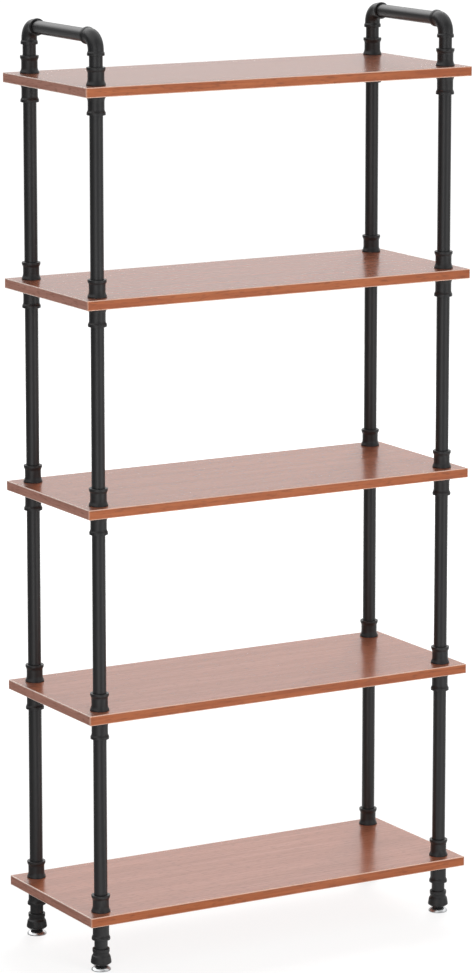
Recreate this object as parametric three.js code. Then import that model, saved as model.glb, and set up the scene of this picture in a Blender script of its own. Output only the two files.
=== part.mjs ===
// Pipe shelving unit: five boards on four posts of threaded pipe, a handle rail across each
// end of the top, and an adjustable foot under each post.
// Millimetres. +X runs along the width, +Y from front to back and +Z up. The origin is on
// the floor under the middle of the unit.
import * as THREE from "three";
import { mergeVertices } from "three/addons/utils/BufferGeometryUtils.js";

// Boards
const SHELF_COUNT = 5;
const SHELF_WIDTH = 800;
const SHELF_DEPTH = 322;
const SHELF_THICKNESS = 18;
const SHELF_PITCH = 375; // from the top of one board to the top of the next

// Posts: how far each post's axis lies in from the ends and from the long edges of a board
const POST_INSET_X = 37;
const POST_INSET_Y = 34;

// Pipe
const PIPE_RADIUS = 12.2;
const PIPE_WALL = 2.2;
const PIPE_SEAT_DEPTH = 18; // how deep a pipe's end sits in a coupling

// Couplings: a flare against the board, a plain body and a rim at the free end
const UPPER_COUPLING_HEIGHT = 32;
const LOWER_COUPLING_HEIGHT = 34.3;
const COUPLING_RADIUS = 14.9;
const FLARE_RADIUS = 17.5;
const FLARE_HEIGHT = 8;
const RIM_RADIUS = 17;
const RIM_HEIGHT = 4;
const RIM_TAPER = 4.5;

// Threaded stub on each upper coupling, which passes through the board
const STUB_RADIUS = 10.4;
const STUB_WALL = 2.2;
const STUB_SEAT_DEPTH = 12; // how deep the stub sits in the lower coupling

// Elbows and handle rails
const RAIL_HEIGHT = 85; // from the top board to the rail's axis
const ELBOW_REACH = 33; // from the elbow's corner to the outer face of each rim
const ELBOW_RADIUS = 14.2;
const ELBOW_BEND_RADIUS = 23;
const ELBOW_RIM_RADIUS = 15.7;
const ELBOW_RIM_WIDTH = 5;
const ELBOW_RIM_TAPER = 3;

// Bell fitting at the bottom of each leg, with a threaded floor for the levelling stud. From
// the top down it has a rim, a waist, a shoulder, a slow flare, a band and a bevelled bottom.
const LEG_NIPPLE_LENGTH = 16.5; // the stretch that shows between coupling and bell
const BELL_HEIGHT = 30.2;
const BELL_RIM_RADIUS = 15.7;
const BELL_RIM_HEIGHT = 5.5;
const BELL_WAIST_RADIUS = 14.8;
const BELL_WAIST_DROP = 9.5; // from the bell's top to its waist
const BELL_SHOULDER_RADIUS = 17.2;
const BELL_SHOULDER_DROP = 14.5; // from the bell's top to its shoulder
const BELL_RADIUS = 18.9;
const BELL_BAND_HEIGHT = 2.4;
const BELL_BOTTOM_RADIUS = 14.2;
const BELL_BOTTOM_TAPER = 3.2;
const BELL_FLOOR = 12; // thickness of the threaded floor

// Levelling foot: a threaded stud with a hexagon collar and a captive head, and its pad,
// which rises from its edge to a shoulder and then more gently to its top
const FOOT_HEIGHT = 11; // from the floor to the bell
const STUD_RADIUS = 4;
const STUD_LENGTH = 30; // from the bell's underside up to the stud's tip
const STUD_TIP_CHAMFER = 1;
const COLLAR_ACROSS_CORNERS = 22.5;
const HEAD_RADIUS = 6.2;
const HEAD_HEIGHT = 2;
const HEAD_LIFT = 1; // from the floor to the head
const PAD_HEIGHT = 8.3;
const PAD_RADIUS = 18;
const PAD_EDGE_HEIGHT = 2;
const PAD_SHOULDER_RADIUS = 15.6;
const PAD_SHOULDER_HEIGHT = 5.2;
const PAD_TOP_RADIUS = 11;
const PAD_ROOF = 4.8; // thickness over the head's recess

// Clearances
const FIT_GAP = 0.3; // between a piece and what it is screwed into
const HOLE_GAP = 0.5; // between a stub and its hole in the board
const RUNNING_GAP = 0.3; // between pieces that turn or slide past each other

// How finely round shapes are cut into flat sides
const ROUND_SIDES = 12;
const ELBOW_OUTER_STEPS = 5;
const ELBOW_INNER_STEPS = 3;

// Sizes that follow from the ones above
const PIPE_BORE = PIPE_RADIUS - PIPE_WALL;
const PIPE_SOCKET = PIPE_RADIUS + FIT_GAP;
const STUB_BORE = STUB_RADIUS - STUB_WALL;
const STUB_SOCKET = STUB_RADIUS + FIT_GAP;
const STUD_HOLE = STUD_RADIUS + RUNNING_GAP;
const POST_X = SHELF_WIDTH / 2 - POST_INSET_X;
const POST_Y = SHELF_DEPTH / 2 - POST_INSET_Y;
const PIPE_START = UPPER_COUPLING_HEIGHT - PIPE_SEAT_DEPTH + FIT_GAP; // above a board
const RAIL_SEAT_DEPTH = ELBOW_REACH - ELBOW_BEND_RADIUS; // the whole straight stretch of an elbow
const LEG_HEIGHT = LOWER_COUPLING_HEIGHT + LEG_NIPPLE_LENGTH + BELL_HEIGHT;
const FIRST_SHELF_TOP = FOOT_HEIGHT + LEG_HEIGHT + SHELF_THICKNESS;
const BAY_HEIGHT = SHELF_PITCH - SHELF_THICKNESS;

const CORNERS = [
  { name: "front_left", side: -1, depth: -1 },
  { name: "front_right", side: 1, depth: -1 },
  { name: "back_left", side: -1, depth: 1 },
  { name: "back_right", side: 1, depth: 1 },
];

const shelfTop = (level) => FIRST_SHELF_TOP + level * SHELF_PITCH;

// Finishes

function laminate() {
  return new THREE.MeshStandardMaterial({ color: 0xa8674a, roughness: 0.4, metalness: 0 });
}

function blackCoat() {
  return new THREE.MeshStandardMaterial({ color: 0x2b2b2d, roughness: 0.5, metalness: 0.3 });
}

function zincPlate() {
  return new THREE.MeshStandardMaterial({ color: 0xc4c6c8, roughness: 0.3, metalness: 1 });
}

// Shape helpers

// Keeps only the positions and merges the doubled ones, so the surface is closed.
function closed(geometry) {
  geometry.deleteAttribute("normal");
  geometry.deleteAttribute("uv");
  const merged = mergeVertices(geometry);
  merged.computeVertexNormals();
  return merged;
}

// Turns a closed outline of [radius, height] points about the Z axis. The outline runs up
// the outside and down the inside.
function turned(outline) {
  const points = [...outline, outline[0]].map(([radius, height]) => new THREE.Vector2(radius, height));
  const lathe = new THREE.LatheGeometry(points, ROUND_SIDES);
  lathe.rotateX(Math.PI / 2);
  return lathe;
}

// The outside of a coupling, from the board's face outwards, at distances from the board.
function couplingOutline(height) {
  return [
    [FLARE_RADIUS, 0],
    [COUPLING_RADIUS, FLARE_HEIGHT],
    [COUPLING_RADIUS, height - RIM_HEIGHT - RIM_TAPER],
    [RIM_RADIUS, height - RIM_HEIGHT],
    [RIM_RADIUS, height],
  ];
}

// The lower coupling's outside as it hangs under a board at height top, from its rim up.
function hangingCoupling(top) {
  return couplingOutline(LOWER_COUPLING_HEIGHT)
    .map(([radius, drop]) => [radius, top - drop])
    .reverse();
}

// The lower coupling's inside under a board at height top: the socket that takes the stub.
function stubSocket(top) {
  const floor = top - STUB_SEAT_DEPTH - FIT_GAP;
  return [
    [STUB_SOCKET, top],
    [STUB_SOCKET, floor],
    [PIPE_BORE, floor],
  ];
}

// Pieces. Each is made about its own post's axis.

function shelf() {
  const x = SHELF_WIDTH / 2;
  const y = SHELF_DEPTH / 2;
  const board = new THREE.Shape([
    new THREE.Vector2(-x, -y),
    new THREE.Vector2(x, -y),
    new THREE.Vector2(x, y),
    new THREE.Vector2(-x, y),
  ]);
  for (const { side, depth } of CORNERS) {
    const hole = new THREE.Path();
    hole.absarc(side * POST_X, depth * POST_Y, STUB_RADIUS + HOLE_GAP, 0, 2 * Math.PI, true);
    board.holes.push(hole);
  }
  const settings = { depth: SHELF_THICKNESS, bevelEnabled: false, curveSegments: ROUND_SIDES };
  return closed(new THREE.ExtrudeGeometry(board, settings));
}

// Stands on a board at height 0, with its stub reaching down through the board.
function upperCoupling() {
  const stubEnd = -SHELF_THICKNESS - STUB_SEAT_DEPTH;
  const seat = UPPER_COUPLING_HEIGHT - PIPE_SEAT_DEPTH;
  return closed(
    turned([
      [STUB_BORE, stubEnd],
      [STUB_RADIUS, stubEnd],
      [STUB_RADIUS, 0],
      ...couplingOutline(UPPER_COUPLING_HEIGHT),
      [PIPE_SOCKET, UPPER_COUPLING_HEIGHT],
      [PIPE_SOCKET, seat],
      [STUB_BORE, seat],
    ]),
  );
}

// Runs from inside the upper coupling on a board at height 0 to the board above.
function coupledPipe() {
  return closed(
    turned([
      [PIPE_BORE, PIPE_START],
      [PIPE_RADIUS, PIPE_START],
      [PIPE_RADIUS, BAY_HEIGHT - LOWER_COUPLING_HEIGHT],
      ...hangingCoupling(BAY_HEIGHT),
      ...stubSocket(BAY_HEIGHT),
    ]),
  );
}

// Lower coupling, nipple and bell fitting, with the bell's underside at height 0.
function leg() {
  return closed(
    turned([
      [STUD_HOLE, 0],
      [BELL_BOTTOM_RADIUS, 0],
      [BELL_RADIUS, BELL_BOTTOM_TAPER],
      [BELL_RADIUS, BELL_BOTTOM_TAPER + BELL_BAND_HEIGHT],
      [BELL_SHOULDER_RADIUS, BELL_HEIGHT - BELL_SHOULDER_DROP],
      [BELL_WAIST_RADIUS, BELL_HEIGHT - BELL_WAIST_DROP],
      [BELL_RIM_RADIUS, BELL_HEIGHT - BELL_RIM_HEIGHT],
      [BELL_RIM_RADIUS, BELL_HEIGHT],
      [PIPE_RADIUS, BELL_HEIGHT],
      [PIPE_RADIUS, BELL_HEIGHT + LEG_NIPPLE_LENGTH],
      ...hangingCoupling(LEG_HEIGHT),
      ...stubSocket(LEG_HEIGHT),
      [PIPE_BORE, BELL_FLOOR],
      [STUD_HOLE, BELL_FLOOR],
    ]),
  );
}

// Bends a straight upright piece over towards +Y. Below bendStart it stays upright, then it
// follows a quarter circle, and past the quarter circle it runs level.
function bent(geometry, bendStart) {
  const position = geometry.getAttribute("position");
  const arcLength = (ELBOW_BEND_RADIUS * Math.PI) / 2;
  for (let i = 0; i < position.count; i++) {
    const across = position.getY(i);
    const along = position.getZ(i) - bendStart;
    if (along > 0) {
      const angle = Math.min(along, arcLength) / ELBOW_BEND_RADIUS;
      const level = Math.max(along - arcLength, 0);
      const inwards = across * Math.cos(angle) + ELBOW_BEND_RADIUS * (1 - Math.cos(angle));
      const upwards = ELBOW_BEND_RADIUS * Math.sin(angle) - across * Math.sin(angle);
      position.setY(i, inwards + level);
      position.setZ(i, bendStart + upwards);
    }
  }
  return geometry;
}

// Evenly spaced points of one radius from one height to another, for the bend to follow.
function stretch(radius, from, to, steps) {
  return Array.from({ length: steps + 1 }, (_, i) => [radius, from + ((to - from) * i) / steps]);
}

// Nipple and elbow over a board at height 0. The outline is drawn straight and then bent.
function elbow() {
  const start = RAIL_HEIGHT - ELBOW_BEND_RADIUS;
  const end = start + (ELBOW_BEND_RADIUS * Math.PI) / 2;
  const rim = RAIL_HEIGHT - ELBOW_REACH;
  const mouth = end + RAIL_SEAT_DEPTH;
  const outline = [
    [PIPE_BORE, PIPE_START],
    [PIPE_RADIUS, PIPE_START],
    [PIPE_RADIUS, rim],
    [ELBOW_RIM_RADIUS, rim],
    [ELBOW_RIM_RADIUS, rim + ELBOW_RIM_WIDTH],
    [ELBOW_RADIUS, rim + ELBOW_RIM_WIDTH + ELBOW_RIM_TAPER],
    ...stretch(ELBOW_RADIUS, start, end, ELBOW_OUTER_STEPS),
    [ELBOW_RADIUS, mouth - ELBOW_RIM_WIDTH - ELBOW_RIM_TAPER],
    [ELBOW_RIM_RADIUS, mouth - ELBOW_RIM_WIDTH],
    [ELBOW_RIM_RADIUS, mouth],
    [PIPE_SOCKET, mouth],
    [PIPE_SOCKET, end],
    ...stretch(PIPE_BORE, end, start, ELBOW_INNER_STEPS),
  ];
  return closed(bent(turned(outline), start));
}

// Lies along Y, with its middle at the origin and each end inside an elbow.
function handleRail() {
  const half = POST_Y - ELBOW_REACH + RAIL_SEAT_DEPTH - FIT_GAP;
  const tube = turned([
    [PIPE_BORE, -half],
    [PIPE_RADIUS, -half],
    [PIPE_RADIUS, half],
    [PIPE_BORE, half],
  ]);
  return closed(tube.rotateX(-Math.PI / 2));
}

// Thread, hexagon collar and captive head, with the floor at height 0.
function footStud() {
  const headTop = HEAD_LIFT + HEAD_HEIGHT;
  const collarLow = PAD_HEIGHT + RUNNING_GAP;
  const collarHigh = FOOT_HEIGHT - RUNNING_GAP;
  const tip = FOOT_HEIGHT + STUD_LENGTH;
  const collar = COLLAR_ACROSS_CORNERS / 2;
  const stud = turned([
    [0, HEAD_LIFT],
    [HEAD_RADIUS, HEAD_LIFT],
    [HEAD_RADIUS, headTop],
    [STUD_RADIUS, headTop],
    [STUD_RADIUS, collarLow],
    [collar, collarLow],
    [collar, collarHigh],
    [STUD_RADIUS, collarHigh],
    [STUD_RADIUS, tip - STUD_TIP_CHAMFER],
    [STUD_RADIUS - STUD_TIP_CHAMFER, tip],
    [0, tip],
  ]);
  return closed(sixSided(stud, collar));
}

// Draws in every second corner of the ring of the given radius, which leaves six flats.
function sixSided(geometry, radius) {
  const position = geometry.getAttribute("position");
  const cornerAngle = (2 * Math.PI) / ROUND_SIDES;
  const inShare = Math.cos(Math.PI / 6);
  const tolerance = RUNNING_GAP / 2;
  for (let i = 0; i < position.count; i++) {
    const x = position.getX(i);
    const y = position.getY(i);
    const corner = Math.round(Math.atan2(y, x) / cornerAngle);
    const onRing = Math.abs(Math.hypot(x, y) - radius) < tolerance;
    if (onRing && corner % 2 !== 0) {
      position.setXY(i, x * inShare, y * inShare);
    }
  }
  return geometry;
}

// Domed disc that stands on the floor at height 0, with a recess for the stud's head.
function footPad() {
  const roof = PAD_HEIGHT - PAD_ROOF;
  const recess = HEAD_RADIUS + 2 * RUNNING_GAP;
  return closed(
    turned([
      [recess, 0],
      [PAD_RADIUS, 0],
      [PAD_RADIUS, PAD_EDGE_HEIGHT],
      [PAD_SHOULDER_RADIUS, PAD_SHOULDER_HEIGHT],
      [PAD_TOP_RADIUS, PAD_HEIGHT],
      [STUD_HOLE, PAD_HEIGHT],
      [STUD_HOLE, roof],
      [recess, roof],
    ]),
  );
}

// Assembly

function placed(name, geometry, material, height) {
  const mesh = new THREE.Mesh(geometry, material);
  mesh.name = name;
  mesh.position.z = height;
  return mesh;
}

// One post from floor to elbow. A post at the back is the front one turned half round, so
// its elbow points forwards.
function post({ name, side, depth }) {
  const group = new THREE.Group();
  group.position.set(side * POST_X, depth * POST_Y, 0);
  group.rotation.z = depth > 0 ? Math.PI : 0;
  group.add(placed(`${name}_foot_pad`, footPad(), zincPlate(), 0));
  group.add(placed(`${name}_foot_stud`, footStud(), blackCoat(), 0));
  group.add(placed(`${name}_leg`, leg(), blackCoat(), FOOT_HEIGHT));
  for (let level = 0; level < SHELF_COUNT; level++) {
    const board = shelfTop(level);
    const number = level + 1;
    group.add(placed(`${name}_upper_coupling_${number}`, upperCoupling(), blackCoat(), board));
    if (number < SHELF_COUNT) {
      group.add(placed(`${name}_pipe_${number}`, coupledPipe(), blackCoat(), board));
    }
  }
  group.add(placed(`${name}_elbow`, elbow(), blackCoat(), shelfTop(SHELF_COUNT - 1)));
  return group;
}

const unit = new THREE.Group();

for (let level = 0; level < SHELF_COUNT; level++) {
  const underside = shelfTop(level) - SHELF_THICKNESS;
  unit.add(placed(`shelf_${level + 1}`, shelf(), laminate(), underside));
}

CORNERS.forEach((corner) => unit.add(post(corner)));

for (const [name, side] of [["left", -1], ["right", 1]]) {
  const railHeight = shelfTop(SHELF_COUNT - 1) + RAIL_HEIGHT;
  const rail = placed(`${name}_handle_rail`, handleRail(), blackCoat(), railHeight);
  rail.position.x = side * POST_X;
  unit.add(rail);
}

export default unit;
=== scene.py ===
# %% [markdown]
# # A pipe shelving unit
# Five laminated boards stand on four posts of black pipe. Each post is a chain of pipe
# lengths and couplings: one coupling stands on a board, one hangs under it, and a threaded
# stub through the board pulls the two together. Elbows and a rail close the posts at the
# top, and a levelling foot carries each post on the floor.
# This lesson dresses the rigid model of that unit with fine surfaces and finishes. Every
# surface is worked out as a whole array of points, and every finish is made of nodes.

# %% Load the rigid frame
import math

import bmesh
import bpy
import numpy as np
from mathutils import Matrix, Vector


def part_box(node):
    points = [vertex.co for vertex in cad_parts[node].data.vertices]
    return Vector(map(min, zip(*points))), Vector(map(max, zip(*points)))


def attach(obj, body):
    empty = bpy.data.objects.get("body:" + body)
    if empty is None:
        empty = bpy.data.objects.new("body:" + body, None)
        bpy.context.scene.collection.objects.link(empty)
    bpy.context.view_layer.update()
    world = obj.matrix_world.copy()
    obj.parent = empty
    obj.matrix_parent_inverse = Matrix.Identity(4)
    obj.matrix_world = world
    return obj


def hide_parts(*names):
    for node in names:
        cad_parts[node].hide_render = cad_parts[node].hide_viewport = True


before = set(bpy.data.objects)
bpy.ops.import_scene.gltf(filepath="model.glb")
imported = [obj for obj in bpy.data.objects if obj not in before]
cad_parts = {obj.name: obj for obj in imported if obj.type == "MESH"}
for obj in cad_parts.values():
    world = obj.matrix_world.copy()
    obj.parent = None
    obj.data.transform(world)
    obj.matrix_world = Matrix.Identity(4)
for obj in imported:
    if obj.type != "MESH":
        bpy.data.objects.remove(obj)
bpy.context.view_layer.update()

# %% [markdown]
# ## Sizes
# A maker works in millimetres and Blender in metres, so one value turns the first into the
# second. Places come from the rigid model: each board's height and each post's axis are
# read from the boxes of its nodes. Only the sizes of small forms are written here.

# %% Places read from the frame
MM = 0.001
CORNERS = ("front_left", "front_right", "back_left", "back_right")
BOARD_COUNT = 5

board_boxes = [[np.array(c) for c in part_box(f"shelf_{n + 1}")] for n in range(BOARD_COUNT)]
board_low, board_high = board_boxes[0]
BOARD_SIZE = board_high - board_low
BOARD_UNDERSIDES = [low[2] for low, high in board_boxes]
BOARD_TOPS = [high[2] for low, high in board_boxes]


def post_axis(corner):
    """The middle of a leg's box, seen from above, is its post's axis."""
    low, high = (np.array(c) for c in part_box(f"{corner}_leg"))
    return (low + high)[:2] / 2


POSTS = {corner: post_axis(corner) for corner in CORNERS}
print("board", np.round(BOARD_SIZE / MM, 1), "mm, tops at", np.round(BOARD_TOPS, 3).tolist())
print("posts", {corner: np.round(at / MM, 1).tolist() for corner, at in POSTS.items()})

# %% [markdown]
# ## The camera
# The picture was taken from well back with a long lens, a little to the left and above the
# middle. The lens and the sideways shift below were found by fitting the straight edges of
# the boards and posts, so the camera stands where the photographer stood.

# %% Camera at the photograph's viewpoint
IMAGE_SIZE = (474, 973)
LENS_CENTRE = (277.3, 412.7)
LENS_PIXELS = 4221.5
SENSOR = 36.0
CAMERA_AZIMUTH = math.radians(-30.54)
CAMERA_ELEVATION = math.radians(10.19)
CAMERA_ROLL = math.radians(0.1)
CAMERA_DISTANCE = 7829 * MM
CAMERA_TARGET = Vector((81.4 * MM, 0.0, BOARD_TOPS[0] + 858.3 * MM))


def camera_back(azimuth, elevation):
    """Unit vector from the target to the camera: azimuth turns it about Z, elevation lifts it."""
    level = math.cos(elevation)
    return Vector((math.sin(azimuth) * level, -math.cos(azimuth) * level, math.sin(elevation)))


def make_camera():
    """The lens and its shifts are known in pixels. Over the picture's longer side they give
    Blender's own: the lens as a share of the sensor, and each shift as a share of the side."""
    data = bpy.data.cameras.new("camera")
    data.sensor_width = SENSOR
    data.lens = SENSOR * LENS_PIXELS / max(IMAGE_SIZE)
    data.shift_x = (IMAGE_SIZE[0] / 2 - LENS_CENTRE[0]) / max(IMAGE_SIZE)
    data.shift_y = (LENS_CENTRE[1] - IMAGE_SIZE[1] / 2) / max(IMAGE_SIZE)
    camera = bpy.data.objects.new("camera", data)
    back = camera_back(CAMERA_AZIMUTH, CAMERA_ELEVATION)
    turn = back.to_track_quat("Z", "Y").to_matrix().to_4x4()
    roll = Matrix.Rotation(CAMERA_ROLL, 4, "Z")
    camera.matrix_world = Matrix.Translation(CAMERA_TARGET + back * CAMERA_DISTANCE) @ turn @ roll
    bpy.context.scene.collection.objects.link(camera)
    bpy.context.scene.camera = camera
    return camera


camera = make_camera()
print("camera", [round(v, 3) for v in camera.location], "lens", round(camera.data.lens, 1))

# %% [markdown]
# ## Colour and nodes
# Colours are written as the hex codes a picture editor shows, which are sRGB. Light adds up
# in linear values, so one function turns a code into those. A second one adds a node with
# its settings and links, so that a material reads as a list of steps.

# %% Colour and node helpers
# A mix node that blends colours takes them at two of its inputs, and gives the blend at one
# of its outputs. These are their numbers.
COLOUR_A, COLOUR_B, BLENDED = 6, 7, 2


def srgb(code):
    """Each channel c of a hex code becomes ((c + 0.055) / 1.055) ** 2.4, or c / 12.92 if dark."""
    channels = np.array([int(code[i : i + 2], 16) / 255 for i in (1, 3, 5)])
    linear = np.where(channels > 0.04045, ((channels + 0.055) / 1.055) ** 2.4, channels / 12.92)
    return (*linear.tolist(), 1.0)


def add(tree, kind, inputs=None, **settings):
    """One new node. An input is a value, or another node's output that is linked to it."""
    node = tree.nodes.new(kind)
    for name, value in settings.items():
        setattr(node, name, value)
    for name, value in (inputs or {}).items():
        if isinstance(value, bpy.types.NodeSocket):
            tree.links.new(value, node.inputs[name])
        else:
            node.inputs[name].default_value = value
    return node


def new_material(name):
    """An empty node material: its tree, with only the output node in it."""
    material = bpy.data.materials.new(name)
    material.use_nodes = True
    material.node_tree.nodes.clear()
    output = add(material.node_tree, "ShaderNodeOutputMaterial")
    return material, material.node_tree, output


# %% [markdown]
# ## Light
# The unit was photographed in a studio. Three large soft boxes light it: one in front to the
# right, a weaker one on the camera's own side, and one high behind the unit, which reaches in
# over every board. They light only what is matt. A mirror sees the room instead, whose
# brightness is given once round the unit, so that no glare burns out at any angle. The room
# is dim on the camera's left, which keeps the left ends and the left edges of the black pipes
# dark. Two bright fields in front draw two soft stripes on every pipe. The white wall behind
# the unit is what the board tops mirror at a low angle, so they shine pale. Overhead it is
# brightest towards the back, which gives the rails and elbows the sheen along their tops.

# %% World and lamps
SKY_LIGHT = 0.36
# Azimuths in degrees, from behind the unit round its left, front and right, and how bright
# the room is there in a mirror.
ROOM_ROUND = ((-180, 0.81), (-150, 0.14), (-120, 0.04), (-85, 0.12), (-60, 0.5), (-42, 1.5),
              (-22, 0.3), (6, 0.3), (26, 1.45), (48, 0.5), (75, 0.4), (110, 0.76), (180, 0.81))
HIGHER_UP = {"From Max": math.sin(math.radians(20)), "To Min": 1.0, "To Max": 1.17}
# How bright it is overhead, by how far a direction leans forwards (-1) or backwards (1).
OVERHEAD = ((-0.75, 0.3), (-0.25, 1.2), (0.25, 1.3), (0.8, 2.6))
OVERHEAD_FROM = {"From Min": math.sin(math.radians(17)), "From Max": math.sin(math.radians(32))}
LAMP_DISTANCE = 6.0
LAMP_SIZE = (3.0, 2.4)
LAMP_AIM = Vector((0.0, 0.0, 0.9))
RIGHT_LAMP = {"azimuth": math.radians(14), "height": 2.0, "power": 138.0}
LEFT_LAMP = {"azimuth": math.radians(-45), "height": 1.3, "power": 118.0}
BACK_LAMP = {"azimuth": math.radians(142), "height": 4.0, "power": 360.0}


def ray_kind(tree):
    """Whether a ray comes from the camera, and whether from the camera, a mirror or glass.
    Each mark is 0 or 1, so the largest of three says whether any of them holds."""
    path = add(tree, "ShaderNodeLightPath").outputs
    mirrored = add(tree, "ShaderNodeMath", {0: path["Is Camera Ray"], 1: path["Is Glossy Ray"]},
                   operation="MAXIMUM")
    directly = add(tree, "ShaderNodeMath", {0: mirrored.outputs[0],
                                            1: path["Is Transmission Ray"]},
                   operation="MAXIMUM")
    return path["Is Camera Ray"], directly.outputs[0]


def brightness_along(tree, value, fields):
    """The brightness where a value lies among fields of (place, brightness), eased between."""
    first, last = fields[0][0], fields[-1][0]
    share = add(tree, "ShaderNodeMapRange", {"Value": value, "From Min": first,
                                             "From Max": last})
    ramp = add(tree, "ShaderNodeValToRGB", {"Fac": share.outputs["Result"]})
    ramp.color_ramp.interpolation = "EASE"
    brightest = max(brightness for _, brightness in fields)
    stops = ramp.color_ramp.elements
    for place, brightness in fields:
        position = (place - first) / (last - first)
        stop = stops.new(position) if 0 < position < 1 else stops[-1 if position else 0]
        stop.color = (*[brightness / brightest] * 3, 1.0)
    return add(tree, "ShaderNodeMath", {0: ramp.outputs["Color"], 1: brightest},
               operation="MULTIPLY").outputs[0]


def room_round(tree, parts):
    """The room's brightness at the azimuth atan2(x, -y) of a direction with these parts."""
    forward = add(tree, "ShaderNodeMath", {0: parts["Y"], 1: -1.0}, operation="MULTIPLY")
    azimuth = add(tree, "ShaderNodeMath", {0: parts["X"], 1: forward.outputs[0]},
                  operation="ARCTAN2")
    degrees = add(tree, "ShaderNodeMath", {0: azimuth.outputs[0]}, operation="DEGREES")
    return brightness_along(tree, degrees.outputs[0], ROOM_ROUND)


def light_the_world():
    """Even white light. The camera sees plain white. A mirror sees the walls, which are no
    brighter than 1 above the floor, times a share that grows with the height, and higher
    up it sees what is overhead."""
    world = bpy.data.worlds.new("white_studio")
    world.use_nodes = True
    tree = world.node_tree
    tree.nodes.clear()
    direction = add(tree, "ShaderNodeTexCoord").outputs["Generated"]
    parts = add(tree, "ShaderNodeSeparateXYZ", {0: direction}).outputs
    from_camera, directly = ray_kind(tree)
    room = add(tree, "ShaderNodeMath", {0: room_round(tree, parts), 1: 1.0}, operation="MINIMUM")
    rise = add(tree, "ShaderNodeMapRange", {"Value": parts["Z"], **HIGHER_UP})
    walls = add(tree, "ShaderNodeMath", {0: room.outputs[0], 1: rise.outputs["Result"]},
                operation="MULTIPLY")
    upwards = add(tree, "ShaderNodeMapRange", {"Value": parts["Z"], **OVERHEAD_FROM},
                  interpolation_type="SMOOTHSTEP")
    overhead = brightness_along(tree, parts["Y"], OVERHEAD)
    mirrored = add(tree, "ShaderNodeMix", {"Factor": upwards.outputs["Result"],
                                           "A": walls.outputs[0], "B": overhead})
    in_view = add(tree, "ShaderNodeMix", {"Factor": from_camera,
                                          "A": mirrored.outputs["Result"], "B": 1.0})
    strength = add(tree, "ShaderNodeMix", {"Factor": directly, "A": SKY_LIGHT,
                                           "B": in_view.outputs["Result"]})
    sky = add(tree, "ShaderNodeBackground", {"Color": (1, 1, 1, 1),
                                             "Strength": strength.outputs["Result"]})
    add(tree, "ShaderNodeOutputWorld", {"Surface": sky.outputs[0]})
    bpy.context.scene.world = world


def soft_box(name, azimuth, height, power):
    """A rectangle of light at one azimuth and height, turned to face the unit's middle."""
    data = bpy.data.lights.new(name, "AREA")
    data.shape = "RECTANGLE"
    data.size, data.size_y = LAMP_SIZE
    data.energy = power
    lamp = bpy.data.objects.new(name, data)
    lamp.visible_glossy = False
    lamp.location = camera_back(azimuth, 0.0) * LAMP_DISTANCE + Vector((0, 0, height))
    lamp.rotation_euler = (lamp.location - LAMP_AIM).to_track_quat("Z", "Y").to_euler()
    bpy.context.scene.collection.objects.link(lamp)


light_the_world()
soft_box("right_soft_box", **RIGHT_LAMP)
soft_box("left_soft_box", **LEFT_LAMP)
soft_box("back_soft_box", **BACK_LAMP)
bpy.context.scene.view_settings.view_transform = "Standard"

# %% [markdown]
# ## Floor
# The floor is matt white paper that runs out to the horizon. Paper that is lit a little
# short of white would draw a grey band behind the unit, so where the camera or a mirror
# sees it, it glows by itself, least round the feet, where its own paint still takes the
# unit's soft shadow. A mirror sees it as bright as the room is on that side, because pipes
# and edges are seen from above and so mirror the floor, not the walls. The light that it
# throws back on the unit is that of plain paper. It is laid as four sheets that meet under
# the middle of the unit. Each one rides on the pad above it, so that a foot that is screwed
# out still stands on its paper and doesn't sink through it.

# %% Floor
FLOOR_SIZE = 160.0
FOLD_DEPTH = 20 * MM
PAPER_WHITE = "#e6e5e4"
PAPER_IN_VIEW = "#8c8c8c"
# How much of its full glow the paper has, by the distance from the middle of the floor.
GLOW = {"From Min": 1.0, "From Max": 3.5, "To Min": 0.84, "To Max": 1.0}


def white_paper():
    """Glowing paper for the camera and for mirrors, and plain paper for all other light."""
    material, tree, output = new_material("matt_white_paper")
    paper = add(tree, "ShaderNodeBsdfDiffuse", {"Color": srgb(PAPER_WHITE)})
    paper_in_view = add(tree, "ShaderNodeBsdfDiffuse", {"Color": srgb(PAPER_IN_VIEW)})
    place = add(tree, "ShaderNodeTexCoord").outputs["Object"]
    distance = add(tree, "ShaderNodeVectorMath", {0: place}, operation="LENGTH")
    glow = add(tree, "ShaderNodeMapRange", {"Value": distance.outputs["Value"], **GLOW})
    from_camera, directly = ray_kind(tree)
    parts = add(tree, "ShaderNodeSeparateXYZ", {0: place}).outputs
    seen = add(tree, "ShaderNodeMix", {"Factor": from_camera, "A": room_round(tree, parts),
                                       "B": 1.0})
    strength = add(tree, "ShaderNodeMath", {0: glow.outputs["Result"],
                                            1: seen.outputs["Result"]}, operation="MULTIPLY")
    glowing = add(tree, "ShaderNodeEmission", {"Strength": strength.outputs[0]})
    in_view = add(tree, "ShaderNodeAddShader", {0: paper_in_view.outputs[0],
                                                1: glowing.outputs[0]})
    surface = add(tree, "ShaderNodeMixShader", {0: directly, 1: paper.outputs[0],
                                                2: in_view.outputs[0]})
    tree.links.new(surface.outputs[0], output.inputs["Surface"])
    return material


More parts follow.
